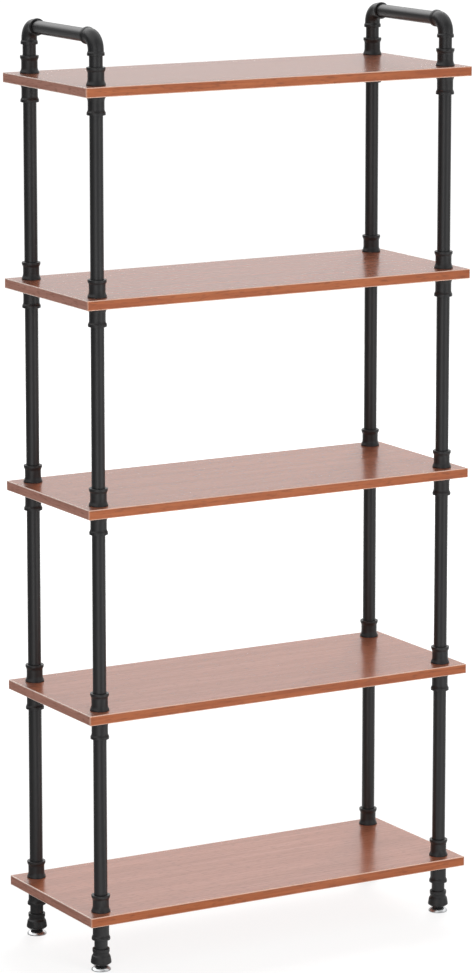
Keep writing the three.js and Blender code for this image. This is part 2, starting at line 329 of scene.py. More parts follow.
def floor_sheet(corner, material):
    """A square of paper from the middle of the floor out past one foot, facing up. The two
    edges where it meets other sheets are folded down, which closes the step between them."""
    far_x, far_y = (math.copysign(FLOOR_SIZE / 2, side) for side in POSTS[corner])
    points = [(0, 0, 0), (far_x, 0, 0), (far_x, far_y, 0), (0, far_y, 0),
              (0, 0, -FOLD_DEPTH), (far_x, 0, -FOLD_DEPTH), (0, far_y, -FOLD_DEPTH)]
    faces = [(0, 1, 2, 3), (0, 4, 5, 1), (0, 3, 6, 4)]
    if far_x * far_y < 0:
        faces = [face[::-1] for face in faces]
    mesh = bpy.data.meshes.new(f"{corner}_floor_sheet")
    mesh.from_pydata(points, [], faces)
    mesh.materials.append(material)
    sheet = bpy.data.objects.new(mesh.name, mesh)
    bpy.context.scene.collection.objects.link(sheet)
    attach(sheet, f"{corner}_pad")


paper = white_paper()
for corner in CORNERS:
    floor_sheet(corner, paper)

# %% [markdown]
# ## Laminate
# The boards are chipboard faced with melamine: a printed wood pattern under a hard clear
# resin, pressed on a fine satin plate. The print gives brown streaks and short dark pores
# along the board, and the resin gives a broad half gloss, which turns almost white where it
# is seen at a low angle. The edge band is ABS with the same print under a duller lacquer.
# The panel's print is painted lighter and pinker than the long bands', as painted light on
# the board tops. The short bands' print is painted greyer, as a painted sheen on the end
# faces. Along the bands' rounded edges a thin paler line is painted on as a painted highlight.

# %% Laminate materials
# Each print's dark streaks, ground and pale streaks, and the paler colour that is painted along the
# rounded edges as a highlight.
# The panel's browns are lighter and pinker than the long band's: painted light on the board tops.
PANEL_BROWNS_PAINTED_LIGHTER = ("#a86446", "#b16c4f", "#b97458", "#dba98f")
LONG_BAND_BROWNS = ("#954e2b", "#a15832", "#ab623a", "#e4bca8")
# The short bands' browns are greyer: a painted sheen on the end faces.
END_BAND_BROWNS_PAINTED_SHEEN = ("#9c6756", "#aa7564", "#b4806f", "#f4dcd0")
PORE_BROWN = "#6d3a22"
MELAMINE = {"roughness": 0.21, "ior": 1.9}
LACQUER = {"roughness": 0.42, "ior": 1.5}
STREAK_WIDTH = 26 * MM
STREAK_LENGTH = 500 * MM
FIBRE_WIDTH = 4 * MM  # real fibres are 0.3 mm wide, and are drawn coarser so that they show
FIBRE_LENGTH = 120 * MM
PORE_WIDTH = 2.5 * MM
PORE_LENGTH = 18 * MM
GRAIN_ROUGHNESS = 0.55
FIBRE_SHARE = 0.5  # of the print's depth, which follows the streaks for the rest
BROWN_PLACES = (0.38, 0.5, 0.62)
PORES = {"From Min": 0.56, "From Max": 0.7, "To Max": 0.5}
GLOSS_SPREAD = 0.04
PLATE_RELIEF = {"Strength": 0.06, "Distance": 0.1 * MM}
# The point attribute that marks the painted highlight along the bands' rounded edges.
HIGHLIGHT_ATTRIBUTE = "painted_highlight"


def grain_noise(tree, place, width, length, along, detail):
    """Noise that is stretched along one axis, so that its blots become streaks."""
    scale = [1 / width] * 3
    scale[along] = 1 / length
    stretched = add(tree, "ShaderNodeMapping", {"Vector": place, "Scale": scale})
    blots = add(tree, "ShaderNodeTexNoise", {"Vector": stretched.outputs[0], "Scale": 1.0,
                                             "Detail": detail, "Roughness": GRAIN_ROUGHNESS})
    return blots.outputs["Fac"]


def printed_wood(name, along, browns, roughness, ior):
    """Printed paper or film whose grain runs along axis 0 (the length) or 1 (the depth), under
    a clear finish. The mesh's own attribute says where a paler colour is painted on the rounded
    edges as a highlight."""
    material, tree, output = new_material(name)
    place = add(tree, "ShaderNodeTexCoord").outputs["Object"]
    streaks = grain_noise(tree, place, STREAK_WIDTH, STREAK_LENGTH, along, detail=3.0)
    fibres = grain_noise(tree, place, FIBRE_WIDTH, FIBRE_LENGTH, along, detail=2.0)
    pores = grain_noise(tree, place, PORE_WIDTH, PORE_LENGTH, along, detail=1.0)
    *printed, highlight_colour = browns
    print_depth = add(tree, "ShaderNodeMix", {"Factor": FIBRE_SHARE, "A": streaks, "B": fibres})
    ramp = add(tree, "ShaderNodeValToRGB", {"Fac": print_depth.outputs["Result"]})
    stops = ramp.color_ramp.elements
    stops.new(BROWN_PLACES[1])
    for stop, position, brown in zip(stops, BROWN_PLACES, printed):
        stop.position, stop.color = position, srgb(brown)
    pore_mask = add(tree, "ShaderNodeMapRange", {"Value": pores, **PORES})
    inked = add(tree, "ShaderNodeMix", {"Factor": pore_mask.outputs["Result"],
                                        COLOUR_A: ramp.outputs["Color"],
                                        COLOUR_B: srgb(PORE_BROWN)}, data_type="RGBA")
    # A paler colour is painted where the attribute marks the rounded edges: a painted highlight.
    highlight_share = add(tree, "ShaderNodeAttribute", attribute_name=HIGHLIGHT_ATTRIBUTE).outputs["Fac"]
    surface = add(tree, "ShaderNodeMix", {"Factor": highlight_share, COLOUR_A: inked.outputs[BLENDED],
                                          COLOUR_B: srgb(highlight_colour)}, data_type="RGBA")
    gloss = add(tree, "ShaderNodeMapRange", {"Value": fibres,
                                             "To Min": roughness - GLOSS_SPREAD,
                                             "To Max": roughness + GLOSS_SPREAD})
    relief = add(tree, "ShaderNodeBump", {"Height": fibres, **PLATE_RELIEF})
    finish = add(tree, "ShaderNodeBsdfPrincipled", {"Base Color": surface.outputs[BLENDED],
                                                    "Roughness": gloss.outputs["Result"],
                                                    "IOR": ior,
                                                    "Normal": relief.outputs[0]})
    tree.links.new(finish.outputs[0], output.inputs["Surface"])
    return material


melamine = printed_wood("melamine_faced_chipboard", 0, PANEL_BROWNS_PAINTED_LIGHTER, **MELAMINE)
long_band = printed_wood("lacquered_abs_band_along", 0, LONG_BAND_BROWNS, **LACQUER)
end_band = printed_wood("lacquered_abs_band_across", 1, END_BAND_BROWNS_PAINTED_SHEEN, **LACQUER)

# %% [markdown]
# ## Black coat
# Pipe and fittings are steel and cast iron with a baked black powder coat. The melted
# powder leaves a satin skin with a faint orange peel, and cast fittings show the sand of
# their mould through it, so they are a little rougher than drawn pipe. The two rails at the
# top shine more than the posts: they carry the same paint with a harder, denser gloss.

# %% Powder coat materials
COAT_DEEP = "#1a1a1b"
COAT_PALE = "#232324"
PAINT_IOR = 1.5
GLOSSY_PAINT_IOR = 1.75
PEEL = {"roughness": 0.36, "grain_size": 2.5 * MM, "grain_depth": 0.1 * MM}
SAND = {"roughness": 0.38, "grain_size": 1.6 * MM, "grain_depth": 0.5 * MM}
GRAIN_STRENGTH = 0.4
CLOUD_SIZE = 60 * MM
SATIN_SPREAD = 0.05


def powder_coat(name, roughness, grain_size, grain_depth, ior=PAINT_IOR):
    """Satin black paint whose small relief has one grain size."""
    material, tree, output = new_material(name)
    place = add(tree, "ShaderNodeTexCoord").outputs["Object"]
    grain = add(tree, "ShaderNodeTexNoise", {"Vector": place, "Scale": 1 / grain_size,
                                             "Detail": 2.0})
    clouds = add(tree, "ShaderNodeTexNoise", {"Vector": place, "Scale": 1 / CLOUD_SIZE,
                                              "Detail": 2.0}).outputs["Fac"]
    shade = add(tree, "ShaderNodeMix", {"Factor": clouds, COLOUR_A: srgb(COAT_DEEP),
                                        COLOUR_B: srgb(COAT_PALE)}, data_type="RGBA")
    satin = add(tree, "ShaderNodeMapRange", {"Value": clouds,
                                             "To Min": roughness - SATIN_SPREAD,
                                             "To Max": roughness + SATIN_SPREAD})
    relief = add(tree, "ShaderNodeBump", {"Strength": GRAIN_STRENGTH, "Distance": grain_depth,
                                          "Height": grain.outputs["Fac"]})
    coat = add(tree, "ShaderNodeBsdfPrincipled", {"Base Color": shade.outputs[BLENDED],
                                                  "Roughness": satin.outputs["Result"],
                                                  "IOR": ior,
                                                  "Normal": relief.outputs[0]})
    tree.links.new(coat.outputs[0], output.inputs["Surface"])
    return material


pipe_coat = powder_coat("powder_coated_steel_tube", **PEEL)
rail_coat = powder_coat("powder_coated_steel_rail", **PEEL, ior=GLOSSY_PAINT_IOR)
casting_coat = powder_coat("powder_coated_cast_iron", **SAND)

# %% [markdown]
# ## Zinc
# The pads of the levelling feet are pressed steel, zinc plated in a barrel. The plate is
# bright with a faint bloom, so a pad takes on the colours round it: white from overhead on
# its flanks, the black bell where it rises towards the collar, brown under the board.

# %% Zinc material
PLATE_GREY = "#d2d4d6"
PLATE_PALE = "#e8e9ea"
BLOOM_SIZE = 4 * MM
HAZE = {"To Min": 0.22, "To Max": 0.36}


def zinc_plate():
    """Bright metal whose grey and roughness both vary with one soft bloom."""
    material, tree, output = new_material("barrel_zinc_plated_steel")
    place = add(tree, "ShaderNodeTexCoord").outputs["Object"]
    bloom = add(tree, "ShaderNodeTexNoise", {"Vector": place, "Scale": 1 / BLOOM_SIZE,
                                             "Detail": 3.0}).outputs["Fac"]
    haze = add(tree, "ShaderNodeMapRange", {"Value": bloom, **HAZE})
    shade = add(tree, "ShaderNodeMix", {"Factor": bloom, COLOUR_A: srgb(PLATE_GREY),
                                        COLOUR_B: srgb(PLATE_PALE)}, data_type="RGBA")
    metal = add(tree, "ShaderNodeBsdfPrincipled", {"Base Color": shade.outputs[BLENDED],
                                                   "Metallic": 1.0,
                                                   "Roughness": haze.outputs["Result"]})
    tree.links.new(metal.outputs[0], output.inputs["Surface"])
    return material


zinc = zinc_plate()

# %% [markdown]
# ## From arrays to meshes
# Nearly every piece here is a grid of points that closes on itself, like a ring of rings.
# The helper below gives a grid its four-sided faces. Which way they face depends on the
# order of the points, so the enclosed volume is worked out, and a negative one turns the
# faces round.

# %% Grid to mesh


def grid_faces(rows, columns):
    """Corner numbers of the cells of a grid that closes on itself along both directions."""
    row = np.arange(rows)[:, None]
    column = np.arange(columns)[None, :]
    after_row = (row + 1) % rows
    after_column = (column + 1) % columns
    corners = (row * columns + column, row * columns + after_column,
               after_row * columns + after_column, after_row * columns + column)
    return np.stack(corners, axis=-1).reshape(-1, 4)


def enclosed_volume(points, quads):
    """Sum of the signed volumes of the pyramids from the origin to each half of each face."""
    a, b, c, d = (points[quads[:, k]] for k in range(4))
    halves = np.einsum("ij,ij->i", a, np.cross(b, c)) + np.einsum("ij,ij->i", a, np.cross(c, d))
    return halves.sum() / 6


def piece_from_quads(name, points, quads, material):
    """A closed mesh piece at the origin, with its faces turned outwards and shaded smooth."""
    if enclosed_volume(points - points.mean(axis=0), quads) < 0:
        quads = quads[:, ::-1]
    mesh = bpy.data.meshes.new(name)
    mesh.vertices.add(len(points))
    mesh.vertices.foreach_set("co", points.astype(np.float32).ravel())
    mesh.loops.add(quads.size)
    mesh.loops.foreach_set("vertex_index", quads.astype(np.int32).ravel())
    mesh.polygons.add(len(quads))
    mesh.polygons.foreach_set("loop_start", np.arange(0, quads.size, 4, dtype=np.int32))
    mesh.polygons.foreach_set("use_smooth", np.ones(len(quads), dtype=bool))
    mesh.update(calc_edges=True)
    mesh.validate()
    mesh.materials.append(material)
    piece = bpy.data.objects.new(name, mesh)
    bpy.context.scene.collection.objects.link(piece)
    return piece


def keep_flats_flat(piece):
    """Weights each point's normal by face area, so that flats next to a round edge stay flat."""
    weighting = piece.modifiers.new("flats_stay_flat", "WEIGHTED_NORMAL")
    weighting.mode = "FACE_AREA"
    weighting.weight = 100
    return piece


def piece_from_grid(name, grid, material):
    """A closed piece from a grid of points that closes on itself, with its flats kept flat."""
    quads = grid_faces(*grid.shape[:2])
    return keep_flats_flat(piece_from_quads(name, grid.reshape(-1, 3), quads, material))


def fit(piece, body, node):
    """Says which body carries the piece, and hides the node of the rigid model that it stands for.
    """
    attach(piece, body)
    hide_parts(node)


# %% [markdown]
# ## Turned pieces
# Pipes, couplings and bells are round, so each is an outline that goes once round an axis.
# A casting has no sharp corners. Each corner of an outline is therefore replaced by a small
# curve that starts and ends a set distance from it.

# %% Outlines and turning
ROUND_SIDES = 56
CORNER_STEPS = 5
LARGEST_SHARE = 0.45  # of a side of the outline that one rounding may take


def softened(outline):
    """Outline rows are (radius, height, rounding). Each corner C becomes the curve
    (1-t)^2 A + 2t(1-t) C + t^2 B, where A and B lie one rounding away along its two sides."""
    rows = np.array(outline, dtype=float)
    corner, reach = rows[:, :2], rows[:, 2]

    def towards(neighbour):
        side = neighbour - corner
        length = np.linalg.norm(side, axis=1)
        return corner + side * (np.minimum(reach, LARGEST_SHARE * length) / length)[:, None]

    start, end = towards(np.roll(corner, 1, axis=0)), towards(np.roll(corner, -1, axis=0))
    t = np.linspace(0, 1, CORNER_STEPS)[None, :, None]
    curve = (1 - t) ** 2 * start[:, None] + 2 * t * (1 - t) * corner[:, None] + t**2 * end[:, None]
    return curve.reshape(-1, 2)


def ring_angles(sides):
    """The angle 2 pi k / n of each point k of a ring of n points."""
    return np.arange(sides) * (2 * math.pi / sides)


def turned(name, outline, centre, material):
    """Each outline point (r, z) goes round the axis: (x, y, z) = centre + (r cos a, r sin a, z)."""
    profile = softened(outline) * MM
    angle = ring_angles(ROUND_SIDES)[:, None]
    radius, height = profile[:, 0][None, :], profile[:, 1][None, :]
    grid = np.stack([centre[0] + radius * np.cos(angle), centre[1] + radius * np.sin(angle),
                     np.broadcast_to(centre[2] + height, (ROUND_SIDES, len(profile)))], axis=-1)
    return piece_from_grid(name, grid, material)


# %% [markdown]
# ## Boards
# Each board is a panel with a hole at every corner, and four strips of edge band glued
# round it. The panel's top is cut into plain rectangles. The square round each hole is cut
# into four faces, each between one side of the square and a quarter of the hole's rim, so
# that the hole is part of the mesh and nothing has to be cut out afterwards.

# %% Board panels
BAND_THICKNESS = 2 * MM
HOLE_RADIUS = 10.9 * MM
HOLE_SIDES = 48
HOLE_PATCH = 18 * MM  # half the side of the square that is kept for a hole
HOLE_CELLS = [(1, 1), (1, 3), (3, 1), (3, 3)]  # those squares, counted in x and y


def panel_levels(centre_line, half):
    """Cut lines across the panel: its two edges, and both sides of each hole's square."""
    return np.array([-half, -centre_line - HOLE_PATCH, -centre_line + HOLE_PATCH,
                     centre_line - HOLE_PATCH, centre_line + HOLE_PATCH, half])


def panel_layer():
    """The panel seen from above: its points, its faces, and the loops round it and its holes."""
    post_x, post_y = np.abs(POSTS["front_left"])
    half_x, half_y = BOARD_SIZE[:2] / 2 - BAND_THICKNESS
    xs, ys = panel_levels(post_x, half_x), panel_levels(post_y, half_y)
    across, deep = len(xs), len(ys)
    flat = np.array(np.meshgrid(xs, ys, indexing="ij")).reshape(2, -1).T
    angle = ring_angles(HOLE_SIDES) + math.pi / 4
    circle = np.stack([np.cos(angle), np.sin(angle)], axis=-1) * HOLE_RADIUS
    centres = [np.array([(xs[i] + xs[i + 1]) / 2, (ys[j] + ys[j + 1]) / 2])
               for i, j in HOLE_CELLS]
    points = np.concatenate([flat] + [circle + centre for centre in centres])
    rims = np.arange(len(flat), len(points)).reshape(-1, HOLE_SIDES)

    def corner(i, j):
        return i * deep + j

    quarter = HOLE_SIDES // 4
    faces = []
    for i in range(across - 1):
        for j in range(deep - 1):
            square = [corner(i, j), corner(i + 1, j), corner(i + 1, j + 1), corner(i, j + 1)]
            if (i, j) not in HOLE_CELLS:
                faces.append(square)
                continue
            rim = rims[HOLE_CELLS.index((i, j))]
            # A rim starts next to the square's third corner and has one quarter to each side.
            for side, (a, b) in enumerate(((2, 3), (3, 0), (0, 1), (1, 2))):
                part = np.roll(rim, -side * quarter)[np.arange(quarter + 1) % HOLE_SIDES]
                faces.append([square[a], square[b], *part[::-1].tolist()])
    outer = ([corner(i, 0) for i in range(across - 1)]
             + [corner(across - 1, j) for j in range(deep - 1)]
             + [corner(i, deep - 1) for i in range(across - 1, 0, -1)]
             + [corner(0, j) for j in range(deep - 1, 0, -1)])
    return points, faces, [outer] + rims[:, ::-1].tolist()


def board_panel(number, low, high):
    """The layer at the top and, turned over, at the underside, with a wall along each loop."""
    layer, faces, loops = panel_layer()
    count = len(layer)
    under = [[v + count for v in face[::-1]] for face in faces]
    walls = [[b, a, a + count, b + count]
             for loop in loops for a, b in zip(loop, loop[1:] + loop[:1])]
    points = np.concatenate([np.c_[layer, np.full(count, high[2])],
                             np.c_[layer, np.full(count, low[2])]])
    mesh = bpy.data.meshes.new(f"shelf_{number}_panel")
    mesh.from_pydata(points.tolist(), [], faces + under + walls)
    mesh.validate()
    mesh.materials.append(melamine)
    piece = bpy.data.objects.new(mesh.name, mesh)
    bpy.context.scene.collection.objects.link(piece)
    fit(piece, "shelving", f"shelf_{number}")


for number, (low, high) in enumerate(board_boxes, start=1):
    board_panel(number, low, high)
print("panels", BOARD_COUNT, "with holes of", HOLE_RADIUS * 2 / MM, "mm")

# %% [markdown]
# ## Edge bands
# Two millimetres of plastic band cover the panel's edges. Its outer edges are milled round,
# and a paler colour is painted along these small round edges as a painted highlight, which
# draws the pale lines that frame every board.
# A band is a height field over its length and height: full thickness in the middle, and
# falling along a quarter of a ball or a roller wherever an edge is nearer than the radius.

# %% Edge bands
X, Y, Z = np.eye(3)
BAND_ROUNDING = 1.6 * MM
HIGHLIGHT_FROM = 0.1 * BAND_ROUNDING  # how far into a round edge the painted highlight begins
UPRIGHT_CORNER_HIGHLIGHT = 0.4  # the short upright corners get a weaker painted highlight, and keep most of the print
ROUND_STEPS = 6


def eased_steps(length):
    """Positions from 0 to length, close together within one rounding of either end."""
    turn = np.linspace(0, math.pi / 2, ROUND_STEPS)
    near = BAND_ROUNDING * (1 - np.cos(turn))
    return np.concatenate([near, (length - near)[::-1]])


def band_surface(length, height):
    """Thickness t over (s, z): t = T - R + sqrt(R^2 - a^2 - b^2), where a and b say how much
    nearer than R the end and the long edge are."""
    s, z = np.meshgrid(eased_steps(length), eased_steps(height), indexing="ij")
    a = np.clip(BAND_ROUNDING - np.minimum(s, length - s), 0, None)
    b = np.clip(BAND_ROUNDING - np.minimum(z, height - z), 0, None)
    rise = np.sqrt(np.clip(BAND_ROUNDING**2 - a**2 - b**2, 0, None))
    # Share of the painted highlight: full along the long rounded edges, weaker at the upright
    # corners.
    painted_highlight = np.where(b > HIGHLIGHT_FROM, 1.0, UPRIGHT_CORNER_HIGHLIGHT * (a > HIGHLIGHT_FROM))
    return s, z, BAND_THICKNESS - BAND_ROUNDING + rise, painted_highlight.astype(np.float32)


def edge_band(name, number, start, along, outwards, length, material):
    """One strip from start along its edge, with its round side facing outwards."""
    s, z, t, painted_highlight = band_surface(length, BOARD_SIZE[2])
    back = start + s[..., None] * along + z[..., None] * Z
    front = back + t[..., None] * outwards
    rows, columns = s.shape
    points = np.concatenate([front.reshape(-1, 3), back.reshape(-1, 3)])
    row, column = np.meshgrid(np.arange(rows - 1), np.arange(columns - 1), indexing="ij")
    first = (row * columns + column).ravel()
    cells = np.stack([first, first + columns, first + columns + 1, first + 1], axis=-1)
    rim = np.concatenate([np.arange(rows) * columns, (rows - 1) * columns + np.arange(1, columns),
                          np.arange(rows - 2, -1, -1) * columns + columns - 1,
                          np.arange(columns - 2, 0, -1)])
    after = np.roll(rim, -1)
    offset = rows * columns
    sides = np.stack([rim, rim + offset, after + offset, after], axis=-1)
    quads = np.concatenate([cells, cells[:, ::-1] + offset, sides])
    piece = keep_flats_flat(piece_from_quads(f"shelf_{number}_{name}", points, quads, material))
    # The painted highlight's share is stored on the band's points, front and back.
    highlight_share = piece.data.attributes.new(HIGHLIGHT_ATTRIBUTE, "FLOAT", "POINT")
    highlight_share.data.foreach_set("value", np.tile(painted_highlight.ravel(), 2))
    fit(piece, "shelving", f"shelf_{number}")


for number, (low, high) in enumerate(board_boxes, start=1):
    inner_low, inner_high = low + BAND_THICKNESS * (X + Y), high - BAND_THICKNESS * (X + Y)
    edge_band("front_band", number, np.array([low[0], inner_low[1], low[2]]), X, -Y,
              BOARD_SIZE[0], long_band)
    edge_band("back_band", number, np.array([low[0], inner_high[1], low[2]]), X, Y,
              BOARD_SIZE[0], long_band)
    for name, x, outwards in (("left_band", inner_low[0], -X), ("right_band", inner_high[0], X)):
        edge_band(name, number, np.array([x, inner_low[1], low[2]]), Y, outwards,
                  BOARD_SIZE[1] - 2 * BAND_THICKNESS, end_band)
print("edge bands", 4 * BOARD_COUNT)

# %% [markdown]
# ## Couplings
# A coupling is a short cast sleeve. Where it meets the board it flares out, and at its free
# end it has a raised rim that keeps the thread from splitting. The one that stands on the
# board carries the stub that passes through it. The outline below is drawn from the board
# outwards, so the same one serves both: the lower coupling is the upper one hung head down.

# %% Couplings


def half_width(node):
    """Half of the width of a node's box, in millimetres: a round node's radius."""
    low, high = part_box(node)
    return (high.x - low.x) / 2 / MM


FIT_GAP = 0.3
WALL = 2.2
PIPE_RADIUS = half_width("left_handle_rail")
PIPE_BORE = PIPE_RADIUS - WALL
PIPE_SOCKET = PIPE_RADIUS + FIT_GAP
STUB_RADIUS = 10.4
STUB_BORE = STUB_RADIUS - WALL
STUB_SOCKET = STUB_RADIUS + FIT_GAP
COUPLING_RADIUS = 14.9
FLARE_RADIUS = half_width("front_left_upper_coupling_1")
FLARE_EDGE = 2.0
FLARE_HEIGHT = 8.0
RIM_RADIUS = 17.0
RIM_HEIGHT = 4.4
RIM_SLOPE = 4.0
BOARD_THICKNESS = BOARD_SIZE[2] / MM


def sleeve_outline(height):
    """From the flare at the board to the rim, as (radius, distance from the board, rounding)."""
    return [
        (FLARE_RADIUS, 0, 0.3),
        (FLARE_RADIUS, FLARE_EDGE, 1.2),
        (COUPLING_RADIUS, FLARE_HEIGHT, 3.0),
        (COUPLING_RADIUS, height - (RIM_HEIGHT + RIM_SLOPE), 2.2),
        (RIM_RADIUS, height - RIM_HEIGHT, 1.2),
        (RIM_RADIUS, height, 0.8),
    ]


def hung(outline, top):
    """The same outline upside down, under a board whose underside is at height top."""
    return [(radius, top - drop, rounding) for radius, drop, rounding in outline][::-1]


coupling_low, coupling_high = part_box("front_left_upper_coupling_1")
UPPER_HEIGHT = (coupling_high.z - BOARD_TOPS[0]) / MM
STUB_END = (coupling_low.z - BOARD_TOPS[0]) / MM
PIPE_START = (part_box("front_left_pipe_1")[0].z - BOARD_TOPS[0]) / MM
LOWER_HEIGHT = 34.3
STUB_LEDGE = 2.0  # the ring between the stub and the pipe below it


def upper_coupling(corner, number):
    """Turned once round the post: the stub's end and side, the sleeve, the pipe's socket."""
    x, y = POSTS[corner]
    seat = PIPE_START - FIT_GAP
    outline = [
        (STUB_BORE, STUB_END, 0.3),
        (STUB_RADIUS, STUB_END, 0.8),
        (STUB_RADIUS, 0, 0.2),
        *sleeve_outline(UPPER_HEIGHT),
        (PIPE_SOCKET, UPPER_HEIGHT, 0.5),
        (PIPE_SOCKET, seat, 0.3),
        (STUB_BORE, seat, 0.3),
    ]
    name = f"{corner}_upper_coupling_{number}"
    piece = turned(f"{name}_casting", outline, (x, y, BOARD_TOPS[number - 1]), casting_coat)
    fit(piece, "shelving", name)


def lower_coupling(corner, number, node):
    """Turned once round the post: the hung sleeve, the stub's socket, the ledge under it and
    the pipe's socket."""
    x, y = POSTS[corner]
    ledge_top = STUB_END + BOARD_THICKNESS - FIT_GAP
    ledge_low = ledge_top - STUB_LEDGE
    outline = [
        (PIPE_SOCKET, -LOWER_HEIGHT, 0.5),
        *hung(sleeve_outline(LOWER_HEIGHT), 0),
        (STUB_SOCKET, 0, 0.3),
        (STUB_SOCKET, ledge_top, 0.3),
        (PIPE_BORE, ledge_top, 0.3),
        (PIPE_BORE, ledge_low, 0.3),
        (PIPE_SOCKET, ledge_low, 0.3),
    ]
    name = f"{corner}_lower_coupling_{number}"
    piece = turned(name, outline, (x, y, BOARD_UNDERSIDES[number - 1]), casting_coat)
    fit(piece, "shelving", node)


for corner in CORNERS:
    for number in range(1, BOARD_COUNT + 1):
        upper_coupling(corner, number)
        lower_coupling(corner, number, f"{corner}_pipe_{number - 1}" if number > 1
                       else f"{corner}_leg")
print("couplings", 2 * BOARD_COUNT * len(CORNERS))

# %% [markdown]
# ## Pipes
# Between two boards runs one length of drawn tube. Its ends are chamfered for the thread
# and sit deep in the couplings, so only the plain stretch shows.

# %% Pipes
SEAT_IN_LOWER = 18.0


def tube_outline(bottom, top):
    """The cut through a tube's wall: a rectangle from bore to outside and from end to end."""
    return [
        (PIPE_BORE, bottom, 0.3),
        (PIPE_RADIUS, bottom, 0.8),
        (PIPE_RADIUS, top, 0.8),
        (PIPE_BORE, top, 0.3),
    ]


for corner in CORNERS:
    x, y = POSTS[corner]
    for number in range(1, BOARD_COUNT):
        base = BOARD_TOPS[number - 1]
        top = (BOARD_UNDERSIDES[number] - base) / MM - LOWER_HEIGHT + SEAT_IN_LOWER
        piece = turned(f"{corner}_tube_{number}", tube_outline(PIPE_START, top), (x, y, base),
                       pipe_coat)
        fit(piece, "shelving", f"{corner}_pipe_{number}")
print("tubes", (BOARD_COUNT - 1) * len(CORNERS))

# %% [markdown]
# ## Elbows and rails
# The elbow is a casting with a raised rim at each mouth. Its surface is a ring carried
# along a path that rises, turns through a quarter circle and runs level. The radius of the
# ring changes along the path, which makes the rims, and the path comes back inside itself
# at a smaller radius to make the bore.

# %% Elbows
rail_low, rail_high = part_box("left_handle_rail")
RAIL_HEIGHT = ((rail_low.z + rail_high.z) / 2 - BOARD_TOPS[-1]) / MM
RAIL_HALF = (rail_high.y - rail_low.y) / 2 / MM
ELBOW_REACH = 33.0
ELBOW_BEND = 23.0
ELBOW_RADIUS = 14.2
ELBOW_RIM = half_width("front_left_elbow")
ELBOW_RIM_WIDTH = 5.0
ELBOW_NECK = 2.5
ELBOW_STRAIGHT = ELBOW_REACH - ELBOW_BEND
ELBOW_ARC = ELBOW_BEND * math.pi / 2
BEND_STEP = 3.0


def along_elbow(profile):
    """Places rings on the bend's line. A row is (radius, distance from the lower mouth).
    The line is upright, then a quarter circle of radius B, then level:
    (d, h) = (B - B cos q, s0 + B sin q), and the ring leans with it."""
    radius, distance = profile[:, 0], profile[:, 1]
    angle = np.clip(distance - ELBOW_STRAIGHT, 0, ELBOW_ARC) / ELBOW_BEND
    past = np.clip(distance - ELBOW_STRAIGHT - ELBOW_ARC, 0, None)
    inward = ELBOW_BEND * (1 - np.cos(angle)) + past
    height = np.minimum(distance, ELBOW_STRAIGHT) + ELBOW_BEND * np.sin(angle)
    return radius, inward, height, angle


def dense(outline):
    """Adds points on the long sides of an outline, one for each step of the bend."""
    points = np.concatenate([outline, outline[:1]])
    lengths = np.linalg.norm(np.diff(points, axis=0), axis=1)
    counts = np.maximum(1, np.ceil(lengths / BEND_STEP)).astype(int)
    index = np.repeat(np.arange(len(counts)), counts)
    share = np.concatenate([np.arange(n) / n for n in counts])[:, None]
    return points[index] * (1 - share) + points[index + 1] * share


def elbow(corner):
    """A ring that leans by q has its point at angle a at r cos a to the side and r sin a
    towards the bend: (x, y, z) = (r cos a, d + r sin a cos q, h - r sin a sin q)."""
    x, y = POSTS[corner]
    towards = -math.copysign(1.0, y)
    base = BOARD_TOPS[-1] + (RAIL_HEIGHT - ELBOW_REACH) * MM
    mouth = 2 * ELBOW_STRAIGHT + ELBOW_ARC
    rim, neck = ELBOW_RIM_WIDTH, ELBOW_RIM_WIDTH + ELBOW_NECK
    outline = [
        (PIPE_SOCKET, 0, 0.4),
        (ELBOW_RIM, 0, 0.9),
        (ELBOW_RIM, rim, 1.6),
        (ELBOW_RADIUS, neck, 1.2),
        (ELBOW_RADIUS, mouth - neck, 1.2),
        (ELBOW_RIM, mouth - rim, 1.6),
        (ELBOW_RIM, mouth, 0.9),
        (PIPE_SOCKET, mouth, 0.4),
        (PIPE_SOCKET, mouth - ELBOW_STRAIGHT, 0.3),
        (PIPE_BORE, mouth - ELBOW_STRAIGHT, 0.3),
        (PIPE_BORE, ELBOW_STRAIGHT, 0.3),
        (PIPE_SOCKET, ELBOW_STRAIGHT, 0.3),
    ]
    radius, inward, height, lean = along_elbow(dense(softened(outline)))
    around = ring_angles(ROUND_SIDES)[:, None]
    sideways = radius * np.cos(around)
    toward_bend = radius * np.sin(around)
    grid = np.stack([x + sideways * MM,
                     y + towards * (inward + toward_bend * np.cos(lean)) * MM,
                     base + (height - toward_bend * np.sin(lean)) * MM], axis=-1)
    piece = piece_from_grid(f"{corner}_elbow_casting", grid, casting_coat)
    fit(piece, "shelving", f"{corner}_elbow")


for corner in CORNERS:
    elbow(corner)
    x, y = POSTS[corner]
    nipple_top = RAIL_HEIGHT - ELBOW_REACH + ELBOW_STRAIGHT - FIT_GAP
    piece = turned(f"{corner}_top_nipple", tube_outline(PIPE_START, nipple_top),
                   (x, y, BOARD_TOPS[-1]), pipe_coat)
    fit(piece, "shelving", f"{corner}_elbow")


def handle_rail(side):
    """The same tube outline as a pipe, turned about a line that runs from front to back."""
    profile = softened(tube_outline(-RAIL_HALF, RAIL_HALF)) * MM
    around = ring_angles(ROUND_SIDES)[:, None]
    radius, along = profile[:, 0][None, :], profile[:, 1][None, :]
    grid = np.stack([POSTS[f"front_{side}"][0] + radius * np.cos(around),
                     np.broadcast_to(along, (ROUND_SIDES, len(profile))),
                     BOARD_TOPS[-1] + RAIL_HEIGHT * MM + radius * np.sin(around)], axis=-1)
    piece = piece_from_grid(f"{side}_rail_tube", grid, rail_coat)
    fit(piece, "shelving", f"{side}_handle_rail")


for side in ("left", "right"):
    handle_rail(side)
print("elbows", len(CORNERS), "and rails 2")

